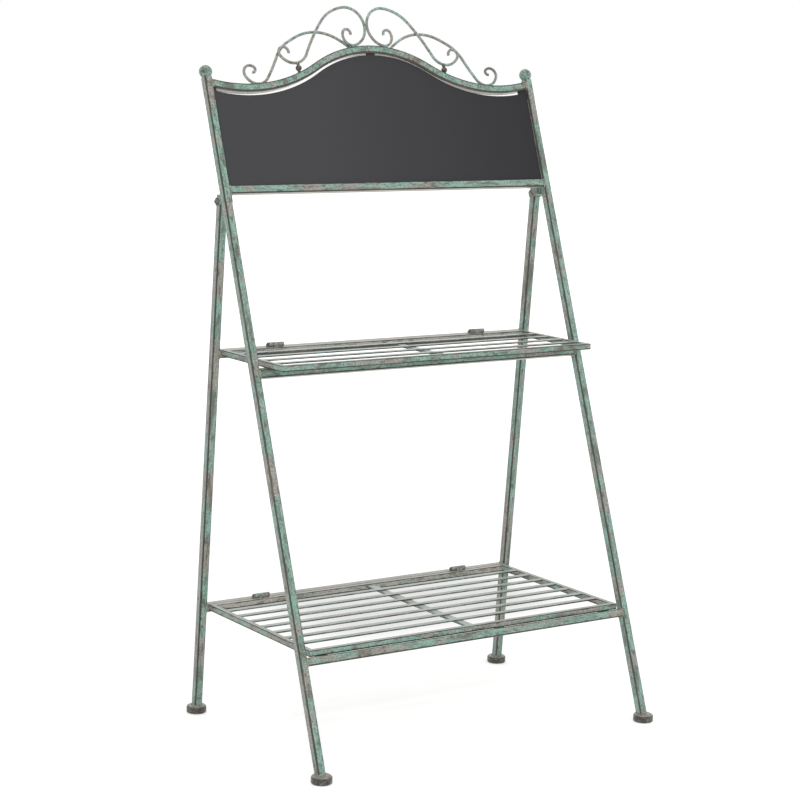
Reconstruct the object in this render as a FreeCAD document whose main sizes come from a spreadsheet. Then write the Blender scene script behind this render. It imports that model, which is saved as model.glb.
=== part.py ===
"""Folding two-shelf plant stand with a chalkboard sign and scrolled crest.

Frame: +Z up, +Y to the back, origin on the floor under the middle of the feet, mm.
The front frame leans back and carries the sign, the crest and two front bars. The
rear frame swings on a bolt behind each front leg. Each shelf is hinged on a rear bar
and rests on a front bar.
"""
import math
import os
import re

import FreeCAD
import Part
import Sketcher

# name, value or formula, what it measures
SIZES = (
    ("foot_spread", 394.4, "front foot centre to rear foot centre"),
    ("front_width", 605.3, "between the centre lines of the front legs"),
    ("leg_inset", 5.65, "rear leg axis inside the front leg axis, each side"),
    ("front_lean", 19.94, "degrees the front legs lean back"),
    ("tube", 12.7, "side of the square tube of both frames"),
    ("tube_wall", 1.2, "wall of that tube"),
    ("tube_round", 1.2, "corner radius of that tube"),
    ("rail", 9.5, "side of the square tube round each shelf"),
    ("rail_wall", 1.0, "wall of that tube"),
    ("rail_round", 0.9, "corner radius of that tube"),
    ("leg_end", 1074.0, "top end of a front leg, measured along it"),
    ("ball_radius", 10.1, "ball on top of each front leg"),
    ("ball_flat_angle", 63.0, "degrees below the equator where the ball is cut flat"),
    ("foot_radius", 16.0, "disc under each leg"),
    ("foot_height", 11.5, "thickness of that disc"),
    ("foot_round", 3.0, "rounding of its top edge"),
    ("glide_radius", 14.5, "pale glide under the disc"),
    ("glide_height", 1.0, "thickness of the glide"),
    ("pivot_drop", 10.25, "bolt below the rail under the sign, along the front leg"),
    ("pivot_clear", 9.96, "bolt axis behind the bracket plate"),
    ("stop_gap", 0.12, "top corner of the rear leg to the bracket block, stand open"),
    ("web", 7.38, "bracket block on the back of the front leg"),
    ("cheek", 1.8, "bracket plates beside the rear leg"),
    ("cheek_gap", 0.45, "free play between a cheek and the rear leg"),
    ("cheek_height", 13.0, "bracket height along the leg"),
    ("cheek_reach", 6.6, "bracket beyond the bolt centre"),
    ("cheek_round", 5.0, "rounding of the free corners of a cheek"),
    ("bolt_radius", 3.0, "shank of the pivot bolt"),
    ("bolt_play", 0.05, "running clearance round the shank in the rear leg"),
    ("bolt_head", 4.6, "radius of the domed head"),
    ("nut_radius", 3.9, "radius of the domed cap nut"),
    ("bolt_thread", 1.6, "shank inside the cap nut"),
    ("board_rail_along", 895.5, "rail under the sign, along the front leg"),
    ("crest_rise", 53.6, "top of the arched rail at the middle, above the leg end"),
    ("trough_drop", 11.5, "top of the arched rail at its lowest, below the leg end"),
    ("crest_radius", 212.0, "top edge of the arch over the middle"),
    ("trough_radius", 251.0, "top edge of the arch over the dips"),
    ("board_gap", 2.4, "slot between arched rail and sign, at the crest"),
    ("board_sag", 2.4, "extra width of that slot at the dips"),
    ("board_shift", 1.8, "top edge of the sign off centre to the right"),
    ("board_side_gap", 1.2, "slot between leg and sign"),
    ("board_thick", 2.5, "sheet of the sign"),
    ("board_inset", 3.0, "face of the sign behind the face of the frame"),
    ("middle_tab", 15.0, "width of the tab at the crest"),
    ("end_tab", 17.0, "side of the tab at the right upper corner"),
    ("left_tab", 5.5, "width of the tab at the left upper corner"),
    ("rod_radius", 2.25, "bent rod of the scrolls"),
    ("inner_shift", 0.3, "inner pair off centre to the right"),
    ("inner_start_x", 31.3, "inner scroll, tip of the small curl, from the middle"),
    ("inner_start_rise", 19.4, "the same tip above the crest"),
    ("inner_start_angle", 100.8, "degrees from the right the rod sets off at"),
    ("inner_eye_radius", 7.1, "first bend of the small curl"),
    ("inner_eye_angle", 164.2, "its turn in degrees"),
    ("inner_curl_radius", 15.8, "second bend"),
    ("inner_curl_angle", 130.2, "its turn"),
    ("inner_back_radius", 31.9, "bend that comes up at the middle"),
    ("inner_back_angle", 173.3, "its turn"),
    ("inner_crown_radius", 68.7, "bend over the top"),
    ("inner_crown_angle", 43.3, "its turn"),
    ("inner_fall_radius", 321.3, "long, nearly straight fall"),
    ("inner_fall_angle", 11.7, "its turn"),
    ("inner_foot_radius", 28.6, "bend at the bottom, the other way"),
    ("inner_foot_angle", 116.4, "its turn"),
    ("inner_tail_radius", 9.0, "outer curl"),
    ("inner_tail_angle", 221.2, "its turn"),
    ("outer_shift", 4.8, "outer pair off centre to the right"),
    ("outer_start_x", 34.3, "outer scroll, end on the arch, from the middle"),
    ("outer_start_drop", 5.35, "the same end below the crest"),
    ("outer_start_angle", 41.4, "degrees from the right the rod sets off at"),
    ("outer_rise_radius", 156.6, "first bend"),
    ("outer_rise_angle", 10.7, "its turn"),
    ("outer_top_radius", 81.6, "bend over the top"),
    ("outer_top_angle", 56.0, "its turn"),
    ("outer_run_radius", 249.4, "long flat bend"),
    ("outer_run_angle", 4.6, "its turn"),
    ("outer_drop_radius", 64.3, "bend into the fall"),
    ("outer_drop_angle", 31.6, "its turn"),
    ("outer_fall_radius", 298.9, "nearly straight fall, the other way"),
    ("outer_fall_angle", 7.7, "its turn"),
    ("outer_foot_radius", 23.4, "bend at the bottom"),
    ("outer_foot_angle", 117.3, "its turn"),
    ("outer_curl_radius", 11.5, "outer curl"),
    ("outer_curl_angle", 158.0, "its turn"),
    ("outer_eye_radius", 4.7, "end of the curl"),
    ("outer_eye_angle", 147.0, "its turn"),
    ("bead_across", 138.0, "bead under the inner scroll, from the middle"),
    ("bead_radius", 4.8, "that bead"),
    ("bead_stem", 2.4, "radius of the stem through the bead"),
    ("block_across", 30.0, "block under the small curl, from the middle"),
    ("block_width", 7.0, "that block, side to side"),
    ("lower_top", 181.9, "lower shelf surface above the floor"),
    ("upper_top", 593.8, "upper shelf surface above the floor"),
    ("bar_step", 0.25, "top face of the rear bar below the shelf surface"),
    ("shelf_side_gap", 1.4, "slot between shelf and rear leg, each side"),
    ("lower_set", 0.9, "front edge of the lower shelf behind the axis of its bar"),
    ("upper_overhang", 56.3, "front edge of the upper shelf before the axis of its bar"),
    ("lower_front_slot", 42.1, "foremost slat to front rail of the lower shelf, axes"),
    ("lower_rear_slot", 40.7, "rearmost slat to rear rail of the lower shelf, axes"),
    ("upper_front_slot", 26.6, "foremost slat to front rail of the upper shelf, axes"),
    ("upper_rear_slot", 36.8, "rearmost slat to rear rail of the upper shelf, axes"),
    ("lower_slats", 7, "number of slats on the lower shelf"),
    ("upper_slats", 4, "number of slats on the upper shelf"),
    ("slat_width", 10.5, "flat bar of the slats"),
    ("slat_thick", 2.0, "its thickness"),
    ("strut_width", 14.0, "flat bar under the slats, front to back"),
    ("strut_thick", 3.0, "its thickness"),
    ("strut_shift", 8.5, "strut right of the middle"),
    ("hinge_gap", 2.6, "slot between rear bar and shelf"),
    ("hinge_inset", 96.25, "hinge centre in from the side of the shelf"),
    ("hinge_length", 28.0, "barrel length"),
    ("hinge_share", 0.4, "share of the barrel on the shelf"),
    ("hinge_radius", 3.6, "barrel radius"),
    ("hinge_foot", 5.5, "weld foot of a knuckle, front to back"),
    ("knuckle_play", 0.3, "end play between knuckles"),
    ("hinge_pin", 1.75, "pin radius"),
    ("hinge_play", 0.05, "running clearance of the pin in the shelf knuckle"),
    ("hinge_pin_head", 2.6, "head radius of the pin"),
    ("hinge_pin_cap", 0.8, "thickness of that head"),
    ("rest_length", 20.0, "rest lug, side to side"),
    ("rest_depth", 4.4, "rest lug, front to back"),
    ("lower_rest", 1.2, "height of the lugs on the lower front bar"),
    ("upper_rest", 2.9, "height of the lugs on the upper front bar"),
    ("lower_rest_gap", 0.24, "lug to lower shelf"),
    ("upper_rest_gap", 0.15, "lug to upper shelf"),
    ("lower_rest_inset", 23.25, "lug centre in from the side of the lower shelf"),
    ("rear_width", "=front_width - 2 * leg_inset", "between the axes of the rear legs"),
    ("shelf_width", "=rear_width - tube - 2 * shelf_side_gap", "outside width of both shelves"),
    ("arch_crest", "=leg_end + crest_rise", "top of the arched rail at the middle"),
    ("arch_trough", "=leg_end - trough_drop", "top of the arched rail at its lowest"),
    ("inner_start_z", "=arch_crest + inner_start_rise", "tip of the small curl, along the leg"),
    ("outer_start_z", "=arch_crest - outer_start_drop", "end on the arch, along the leg"),
    ("pivot_along", "=board_rail_along - pivot_drop", "bolt, along the front leg"),
    ("pivot_behind", "=tube / 2 + web + pivot_clear", "bolt behind the front leg axis"),
    ("bar_drop", "=tube / 2 + bar_step", "rear bar centre below the shelf surface"),
    ("pivot_y", "=-foot_spread / 2 + pivot_along * sin(front_lean)"
                " + pivot_behind * cos(front_lean)", "bolt, front to back"),
    ("pivot_z", "=pivot_along * cos(front_lean) - pivot_behind * sin(front_lean)",
     "bolt above the floor"),
    ("rear_reach", "=sqrt((foot_spread / 2 - pivot_y) ^ 2 + pivot_z ^ 2)",
     "rear foot to bolt, along the rear leg"),
    ("rear_lean", "=atan((foot_spread / 2 - pivot_y) / pivot_z) / 1 deg",
     "degrees the rear legs lean forward"),
    ("lower_rear_along", "=(lower_top - bar_drop) / cos(rear_lean)",
     "lower rear bar, along the rear leg"),
    ("upper_rear_along", "=(upper_top - bar_drop) / cos(rear_lean)",
     "upper rear bar, along the rear leg"),
    ("bar_corner", "=tube / 2 * (cos(rear_lean) + sin(rear_lean))",
     "rear bar centre to its foremost corner"),
    ("lower_back", "=foot_spread / 2 - lower_rear_along * sin(rear_lean)"
                   " - bar_corner - hinge_gap", "back edge of the lower shelf"),
    ("upper_back", "=foot_spread / 2 - upper_rear_along * sin(rear_lean)"
                   " - bar_corner - hinge_gap", "back edge of the upper shelf"),
    ("leg_past", "=(pivot_clear - stop_gap - tube / 2 * cos(front_lean + rear_lean))"
                 " / sin(front_lean + rear_lean)", "rear leg beyond the bolt, as a stop"),
    ("lower_bar_along", "=(lower_top - rail - lower_rest_gap"
                        " + (tube / 2 - rest_depth) * sin(front_lean)) / cos(front_lean)"
                        " - tube / 2 - lower_rest", "lower front bar, along the front leg"),
    ("upper_bar_along", "=(upper_top - rail - upper_rest_gap"
                        " - tube / 2 * sin(front_lean)) / cos(front_lean)"
                        " - tube / 2 - upper_rest", "upper front bar, along the front leg"),
    ("lower_depth", "=lower_back + foot_spread / 2 - lower_bar_along * sin(front_lean)"
                    " - lower_set", "lower shelf, front to back"),
    ("upper_depth", "=upper_back + foot_spread / 2 - upper_bar_along * sin(front_lean)"
                    " + upper_overhang", "upper shelf, front to back"),
    ("lower_pitch", "=(lower_depth - rail - lower_front_slot - lower_rear_slot)"
                    " / (lower_slats - 1)",
     "slat to slat on the lower shelf"),
    ("upper_pitch", "=(upper_depth - rail - upper_front_slot - upper_rear_slot)"
                    " / (upper_slats - 1)",
     "slat to slat on the upper shelf"),
)

NAMES = {row[0] for row in SIZES}
SIDES = (("left", "-1"), ("right", "1"))
SHELVES = ("lower", "upper")

doc = FreeCAD.newDocument("plant_stand")
sheet = doc.addObject("Spreadsheet::Sheet", "Sizes")
for row, (name, value, note) in enumerate(SIZES, start=1):
    sheet.set("A%d" % row, name)
    sheet.set("B%d" % row, str(value))
    sheet.set("C%d" % row, note)
    sheet.setAlias("B%d" % row, name)
doc.recompute()

pieces = []


def size(name):
    """Value of a named size."""
    return float(getattr(sheet, name))


def bind(item, prop, text):
    """Tie a property to an expression in which size names stand alone."""
    item.setExpression(prop, re.sub(
        r"[a-z_]+", lambda m: "Sizes." + m.group() if m.group() in NAMES else m.group(), text))


def bind_base(item, prop, corner):
    """Tie the three coordinates of a placement."""
    for axis, text in zip("xyz", corner):
        bind(item, prop + ".Base." + axis, text)


def keep(item, label):
    """Name a finished piece and put it on the list."""
    item.Label = label
    pieces.append(item)
    return item


def on_front(item):
    """Lean a piece drawn upright with the front frame."""
    item.Placement = FreeCAD.Placement(
        FreeCAD.Vector(), FreeCAD.Rotation(FreeCAD.Vector(1, 0, 0), -1))
    bind(item, "Placement.Base.y", "-foot_spread / 2")
    bind(item, "Placement.Rotation.Angle", "-front_lean")


def on_rear(item):
    """Lean a piece drawn upright with the rear frame."""
    item.Placement = FreeCAD.Placement(
        FreeCAD.Vector(), FreeCAD.Rotation(FreeCAD.Vector(1, 0, 0), 1))
    bind(item, "Placement.Base.y", "foot_spread / 2")
    bind(item, "Placement.Rotation.Angle", "rear_lean")


def on_shelf(item, shelf):
    """Put a piece drawn from the rear top edge of a shelf in its place."""
    bind(item, "Placement.Base.y", shelf + "_back")
    bind(item, "Placement.Base.z", shelf + "_top")


def new_body(label):
    """Body for one piece."""
    return doc.addObject("PartDesign::Body", label)


def plane(body, role):
    """Origin plane of a body by its role."""
    return [f for f in body.Origin.OriginFeatures if f.Role == role][0]


def attach(item, body, role="XY_Plane"):
    """Lay a sketch or primitive on an origin plane of its own body."""
    item.AttachmentSupport = (plane(body, role), [""])
    item.MapMode = "FlatFace"


def block(body, kind, label, corner, extent):
    """Add or take away a block with the given low corner and extent."""
    item = body.newObject("PartDesign::%sBox" % kind, label)
    attach(item, body)
    for prop, text in zip(("Length", "Width", "Height"), extent):
        bind(item, prop, text)
    bind_base(item, "AttachmentOffset", corner)
    return item


def drum(body, kind, label, base, radius, height, turn=None):
    """Add or take away a cylinder; turn is an axis and the angle about it."""
    item = body.newObject("PartDesign::%sCylinder" % kind, label)
    attach(item, body)
    bind(item, "Radius", radius)
    bind(item, "Height", height)
    if turn:
        item.AttachmentOffset = FreeCAD.Placement(
            FreeCAD.Vector(), FreeCAD.Rotation(FreeCAD.Vector(*turn[0]), 1))
        bind(item, "AttachmentOffset.Rotation.Angle", turn[1])
    bind_base(item, "AttachmentOffset", base)
    return item


def outline(body, label, corners, role="XY_Plane"):
    """Closed sketch of straight sides; each corner is a pair of expressions."""
    sketch = body.newObject("Sketcher::SketchObject", label)
    attach(sketch, body, role)
    count = len(corners)
    spots = [FreeCAD.Vector(math.cos(2 * math.pi * i / count), math.sin(2 * math.pi * i / count), 0)
             for i in range(count)]
    for i in range(count):
        sketch.addGeometry(Part.LineSegment(spots[i], spots[(i + 1) % count]))
    for i in range(count):
        sketch.addConstraint(Sketcher.Constraint("Coincident", i, 2, (i + 1) % count, 1))
    for i, corner in enumerate(corners):
        for kind, text in zip(("DistanceX", "DistanceY"), corner):
            place = sketch.addConstraint(Sketcher.Constraint(kind, -1, 1, i, 1, 1.0))
            sketch.renameConstraint(place, kind + str(i))
            bind(sketch, "Constraints." + kind + str(i), text)
    return sketch


def pad(body, sketch, height, mid=False):
    """Thicken a sketch."""
    item = body.newObject("PartDesign::Pad", "Pad")
    item.Profile = sketch
    item.Midplane = mid
    bind(item, "Length", height)
    return item


def round_edges(body, radius, wanted):
    """Round the edges of the body that pass the test."""
    doc.recompute()
    base = body.Tip
    names = ["Edge%d" % (i + 1) for i, edge in enumerate(base.Shape.Edges) if wanted(edge)]
    item = body.newObject("PartDesign::Fillet", "Round")
    item.Base = (base, names)
    bind(item, "Radius", radius)
    return item


def round_tube(body, along, side, radius):
    """Round the four long outer corners of a tube that runs along an axis."""
    doc.recompute()
    box = body.Tip.Shape.BoundBox
    middle = box.Center
    across = [axis for axis in "xyz" if axis != along]

    def corner(edge):
        spot = edge.CenterOfMass
        lies = abs(getattr(edge.tangentAt(edge.FirstParameter), along)) > math.cos(math.radians(1))
        return lies and all(
            abs(abs(getattr(spot, a) - getattr(middle, a)) - size(side) / 2) < size(side) / 100
            for a in across)

    round_edges(body, radius, corner)


def tube_body(label, along, centre, start, length, side="tube", wall="tube_wall"):
    """Square tube: centre gives its axis, start and length its run along that axis."""
    body = new_body(label)
    corner, extent, hole, bore = [], [], [], []
    for axis, text in zip("xyz", centre):
        if axis == along:
            corner.append(start)
            extent.append(length)
            hole.append(start)
            bore.append(length)
        else:
            corner.append("%s - %s / 2" % (text, side))
            extent.append(side)
            hole.append("%s - %s / 2 + %s" % (text, side, wall))
            bore.append("%s - 2 * %s" % (side, wall))
    block(body, "Additive", "Tube", corner, extent)
    block(body, "Subtractive", "Bore", hole, bore)
    round_tube(body, along, side, side + "_round")
    return body


def primitive(kind, label, sizes, base=("0", "0", "0"), turn=None):
    """Plain block, cylinder or ball with its sizes and place tied to the sheet."""
    item = doc.addObject("Part::" + kind, label)
    for prop, text in sizes.items():
        bind(item, prop, text)
    if turn:
        item.Placement = FreeCAD.Placement(
            FreeCAD.Vector(), FreeCAD.Rotation(FreeCAD.Vector(*turn[0]), turn[1]))
    bind_base(item, "Placement", base)
    return item


def merged(parts, label):
    """Weld several plain shapes into one."""
    item = doc.addObject("Part::MultiFuse", label)
    item.Shapes = parts
    return item


def cut(base, tool, label):
    """Take one shape from another."""
    item = doc.addObject("Part::Cut", label)
    item.Base = base
    item.Tool = tool
    return item


def group(parts, label):
    """Several separate solids under one name."""
    item = doc.addObject("Part::Compound", label)
    item.Links = parts
    return item


def fixed(shape, label):
    """Shape that has to be drawn edge by edge."""
    item = doc.addObject("Part::Feature", label)
    item.Shape = shape
    return item


# Front legs, with the ball on top and the disc and glide below
for side, sign in SIDES:
    x = sign + " * front_width / 2"
    leg = tube_body("front_leg_" + side, "z", (x, "0", "0"),
                    "foot_height / 2", "leg_end - foot_height / 2")
    drum(leg, "Subtractive", "Floor", (x, "0", "0"), "foot_radius",
         "foot_height + glide_height", ((1, 0, 0), "front_lean"))
    on_front(leg)
    keep(leg, "front_leg_" + side)
    ball = primitive("Sphere", "Ball", {"Radius": "ball_radius", "Angle1": "-ball_flat_angle"},
                     (x, "0", "leg_end + ball_radius * sin(ball_flat_angle)"))
    finial = group([ball], "Finial")
    on_front(finial)
    keep(finial, "finial_" + side)

# Rear legs, drilled for the bolts
for side, sign in SIDES:
    x = sign + " * rear_width / 2"
    leg = tube_body("rear_leg_" + side, "z", (x, "0", "0"),
                    "foot_height / 2", "rear_reach + leg_past - foot_height / 2")
    drum(leg, "Subtractive", "Floor", (x, "0", "0"), "foot_radius",
         "foot_height + glide_height", ((1, 0, 0), "-rear_lean"))
    drum(leg, "Subtractive", "Bolt_hole", (x + " - tube", "0", "rear_reach"),
         "bolt_radius + bolt_play", "2 * tube", ((0, 1, 0), "90"))
    on_rear(leg)
    keep(leg, "rear_leg_" + side)

for place, depth, width in (("front", "-foot_spread / 2", "front_width"),
                            ("rear", "foot_spread / 2", "rear_width")):
    glides = []
    for side, sign in SIDES:
        x = "%s * %s / 2" % (sign, width)
        foot = new_body("%s_foot_%s" % (place, side))
        drum(foot, "Additive", "Disc", ("0", "0", "0"), "foot_radius", "foot_height")
        round_edges(foot, "foot_round", lambda edge: edge.CenterOfMass.z > size("foot_height") / 2
                    and edge.isClosed())
        bind_base(foot, "Placement", (x, depth, "glide_height"))
        keep(foot, "%s_foot_%s" % (place, side))
        glides.append(primitive("Cylinder", "Glide",
                                {"Radius": "glide_radius", "Height": "glide_height"},
                                (x, depth, "0")))
    keep(group(glides, "Glides"), place + "_foot_glides")

# Bars between the legs
for label, along in (("lower_front_bar", "lower_bar_along"),
                     ("upper_front_bar", "upper_bar_along"),
                     ("board_rail", "board_rail_along")):
    bar = tube_body(label, "x", ("0", "0", along),
                    "-(front_width - tube) / 2", "front_width - tube")
    on_front(bar)
    keep(bar, label)
for shelf in SHELVES:
    bar = tube_body(shelf + "_rear_bar", "x", ("0", "0", shelf + "_rear_along"),
                    "-(rear_width - tube) / 2", "rear_width - tube")
    on_rear(bar)
    keep(bar, shelf + "_rear_bar")

# Brackets behind the front legs, with bolt and cap nut
for side, sign in SIDES:
    near = "%s * (rear_width / 2 - tube / 2 - cheek_gap" % sign
    far = "%s * (rear_width / 2 + tube / 2 + cheek_gap" % sign
    back = "pivot_behind + cheek_reach"
    bracket = new_body("Bracket")
    sketch = outline(bracket, "Channel", (
        (near + " - cheek)", "tube / 2"), (far + " + cheek)", "tube / 2"),
        (far + " + cheek)", back), (far + ")", back),
        (far + ")", "tube / 2 + web"), (near + ")", "tube / 2 + web"),
        (near + ")", back), (near + " - cheek)", back)))
    bind(sketch, "AttachmentOffset.Base.z", "pivot_along")
    pad(bracket, sketch, "cheek_height", mid=True)
    round_edges(bracket, "cheek_round", lambda edge: len(edge.Vertexes) == 2
                and abs(edge.tangentAt(edge.FirstParameter).x) > math.cos(math.radians(1))
                and edge.CenterOfMass.y > size("pivot_behind"))
    drum(bracket, "Subtractive", "Bolt_hole",
         (sign + " * rear_width / 2 - 2 * tube", "pivot_behind", "pivot_along"),
         "bolt_radius", "4 * tube", ((0, 1, 0), "90"))
    on_front(bracket)
    keep(bracket, "pivot_bracket_" + side)

    inner = "(rear_width / 2 - tube / 2 - cheek_gap - cheek)"
    outer = "(rear_width / 2 + tube / 2 + cheek_gap + cheek)"
    turn = ((0, 1, 0), 90 * int(sign))
    shank = primitive("Cylinder", "Shank",
                      {"Radius": "bolt_radius",
                       "Height": "%s - %s + bolt_thread" % (outer, inner)},
                      ("%s * (%s - bolt_thread)" % (sign, inner), "pivot_behind", "pivot_along"),
                      turn)
    head = primitive("Sphere", "Head", {"Radius": "bolt_head", "Angle1": "0"},
                     ("%s * %s" % (sign, outer), "pivot_behind", "pivot_along"), turn)
    bolt = merged([shank, head], "Bolt")
    on_front(bolt)
    keep(bolt, "pivot_bolt_" + side)
    dome = primitive("Sphere", "Dome", {"Radius": "nut_radius", "Angle1": "0"},
                     ("%s * %s" % (sign, inner), "pivot_behind", "pivot_along"),
                     ((0, 1, 0), -90 * int(sign)))
    thread = primitive("Cylinder", "Thread", {"Radius": "bolt_radius", "Height": "bolt_thread"},
                       ("%s * (%s - bolt_thread)" % (sign, inner), "pivot_behind",
                        "pivot_along"), turn)
    nut = cut(dome, thread, "Nut")
    on_front(nut)
    keep(nut, "pivot_nut_" + side)


def arch_curve(drop, half, y, sag=0.0):
    """Edges of the arch line lying drop below its top edge, and sag more at the dips."""
    low = size("arch_crest") - size("crest_radius")
    dip = math.sqrt((size("trough_radius") + size("crest_radius")) ** 2
                    - (size("arch_trough") + size("trough_radius") - low) ** 2)
    crest = size("crest_radius") - drop
    depth = size("arch_trough") - drop - sag - low
    trough = (dip ** 2 + depth ** 2 - crest ** 2) / (2 * (crest - depth))
    high, rise = low + depth + trough, crest + trough
    join = FreeCAD.Vector(dip * crest / rise, y, low + (high - low) * crest / rise)
    end = FreeCAD.Vector(half, y, high - math.sqrt(trough ** 2 - (half - dip) ** 2))
    between = (join.x + half) / 2
    mid = FreeCAD.Vector(between, y, high - math.sqrt(trough ** 2 - (between - dip) ** 2))
    top = FreeCAD.Vector(0, y, low + crest)

    def flip(spot):
        return FreeCAD.Vector(-spot.x, y, spot.z)

    return [Part.Arc(flip(end), flip(mid), flip(join)).toShape(),
            Part.Arc(flip(join), top, join).toShape(),
            Part.Arc(join, mid, end).toShape()]


def arch_sheet(drop, half, front, thick, level=None, under=None, sag=0.0):
    """Sheet below the arch line, down to a level or to a second, deeper arch line."""
    edges = arch_curve(drop, half, front, sag)
    left, right = edges[0].Vertexes[0].Point, edges[-1].Vertexes[-1].Point
    if under is not None:
        lower = arch_curve(under, half, front)
        low_left, low_right = lower[0].Vertexes[0].Point, lower[-1].Vertexes[-1].Point
    else:
        low_left = FreeCAD.Vector(left.x, front, level)
        low_right = FreeCAD.Vector(right.x, front, level)
        lower = [Part.makeLine(low_left, low_right)]
    ends = [Part.makeLine(left, low_left), Part.makeLine(right, low_right)]
    face = Part.Face(Part.Wire(Part.__sortEdges__(edges + lower + ends)))
    return face.extrude(FreeCAD.Vector(0, thick, 0))


# Arched rail over the sign: square tube bent to the arch
tube, wall = size("tube"), size("tube_wall")
span = (size("front_width") - tube) / 2
outside = arch_sheet(0, span, -tube / 2, tube, under=tube)
inside = arch_sheet(wall, span, wall - tube / 2, tube - 2 * wall, under=tube - wall)
arch = fixed(outside.cut(inside), "Arch")
on_front(arch)
keep(arch, "arch_rail")

# Sign: one sheet with a tab at the crest and one at each upper corner
face_y, thick = size("board_inset") - tube / 2, size("board_thick")
seat = size("board_rail_along") + tube / 2
sheet_half = span - size("board_side_gap")
board = arch_sheet(tube + size("board_gap"), span, face_y, thick, level=seat,
                   sag=size("board_sag"))
board.translate(FreeCAD.Vector(size("board_shift"), 0, 0))
board = board.common(Part.makeBox(2 * sheet_half, tube, size("arch_crest"),
                                  FreeCAD.Vector(-sheet_half, -tube / 2, 0)))
reach = arch_sheet(tube, span, face_y, thick, level=seat)
tab_foot = arch_curve(tube, span, 0)[0].Vertexes[0].Point.z - size("end_tab")
windows = [Part.makeBox(size("middle_tab"), tube, size("arch_crest") - seat,
                        FreeCAD.Vector(-size("middle_tab") / 2, -tube / 2, seat))]
for low_x, width in ((-span, size("left_tab")), (span - size("end_tab"), size("end_tab"))):
    windows.append(Part.makeBox(width, tube, size("arch_crest") - tab_foot,
                                FreeCAD.Vector(low_x, -tube / 2, tab_foot)))
for window in windows:
    board = board.fuse(reach.common(window))
board = fixed(board.removeSplitter(), "Board")
on_front(board)
keep(board, "chalkboard")


def bent_rod(family, bends, sign, depth):
    """Round rod swept through a chain of tangent bends; a minus bend turns right."""
    spot = FreeCAD.Vector(size(family + "_start_x"), depth, size(family + "_start_z"))
    angle = math.radians(size(family + "_start_angle"))
    heading = FreeCAD.Vector(math.cos(angle), 0, math.sin(angle))

    def placed(point):
        return FreeCAD.Vector(sign * point.x + size(family + "_shift"), point.y, point.z)

    ring = Part.makeCircle(size("rod_radius"), placed(spot),
                           FreeCAD.Vector(sign * heading.x, 0, heading.z))
    edges = []
    for name, way in bends:
        radius = size("%s_%s_radius" % (family, name))
        turn = math.radians(size("%s_%s_angle" % (family, name)))
        left = FreeCAD.Vector(-heading.z, 0, heading.x) * way
        centre = spot + left * radius

        def along(part):
            return centre - left * radius * math.cos(part) + heading * radius * math.sin(part)

        stop = along(turn)
        edges.append(Part.Arc(placed(spot), placed(along(turn / 2)), placed(stop)).toShape())
        heading = heading * math.cos(turn) + left * math.sin(turn)
        spot = stop
    rod = Part.Wire(edges).makePipeShell([Part.Wire([ring])], True, True)
    return rod.cut(outside)


# Scrolls on the arch: the inner pair in front, the outer pair behind
INNER = (("eye", -1), ("curl", -1), ("back", -1), ("crown", -1), ("fall", -1),
         ("foot", 1), ("tail", 1))
OUTER = (("rise", -1), ("top", -1), ("run", -1), ("drop", -1), ("fall", 1),
         ("foot", 1), ("curl", 1), ("eye", 1))
for family, bends, depth in (("inner", INNER, -size("rod_radius")),
                             ("outer", OUTER, size("rod_radius"))):
    for side, sign in SIDES:
        rod = fixed(bent_rod(family, bends, int(sign), depth), "Rod")
        on_front(rod)
        keep(rod, "%s_scroll_%s" % (family, side))

# Beads and small blocks that hold the inner scrolls off the arch
rods = {side: bent_rod("inner", INNER, int(sign), -size("rod_radius")) for side, sign in SIDES}


def standing(x, shape, side):
    """Trim an upright piece between the arch and the rod above it, at x from the middle."""
    trimmed = shape.cut(outside).cut(rods[side])
    level = (arch_height(x) + rod_height(x, side)) / 2
    return min(trimmed.Solids, key=lambda solid: abs(solid.CenterOfMass.z - level))


def arch_height(x):
    """Top of the arched rail at x, along the leg."""
    line = Part.makeLine(FreeCAD.Vector(x, 0, 0), FreeCAD.Vector(x, 0, 2 * size("arch_crest")))
    return max(v.Point.z for v in line.common(outside).Vertexes)


def rod_height(x, side):
    """Underside of the inner rod at x, along the leg."""
    depth = -size("rod_radius")
    line = Part.makeLine(FreeCAD.Vector(x, depth, 0),
                         FreeCAD.Vector(x, depth, 2 * size("arch_crest")))
    return min(v.Point.z for v in line.common(rods[side]).Vertexes)


blocks = []
for side, sign in SIDES:
    x = int(sign) * size("bead_across") + size("inner_shift")
    low, high = arch_height(x), rod_height(x, side)
    stem = Part.makeCylinder(size("bead_stem"), high - low + 2 * size("rod_radius"),
                             FreeCAD.Vector(x, -size("rod_radius"), low - size("rod_radius")))
    ball = Part.makeSphere(size("bead_radius"),
                           FreeCAD.Vector(x, -size("rod_radius"), (low + high) / 2))
    bead = fixed(standing(x, stem.fuse(ball).removeSplitter(), side), "Bead")
    on_front(bead)
    keep(bead, "scroll_bead_" + side)

    x = int(sign) * size("block_across") + size("inner_shift")
    low, high = arch_height(x), rod_height(x, side)
    blocks.append(standing(x, Part.makeBox(
        size("block_width"), 2 * size("rod_radius"), high - low + 2 * size("rod_radius"),
        FreeCAD.Vector(x - size("block_width") / 2, -2 * size("rod_radius"),
                       low - size("rod_radius"))), side))
blocks = fixed(Part.Compound(blocks), "Blocks")
on_front(blocks)
keep(blocks, "scroll_blocks")

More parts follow.
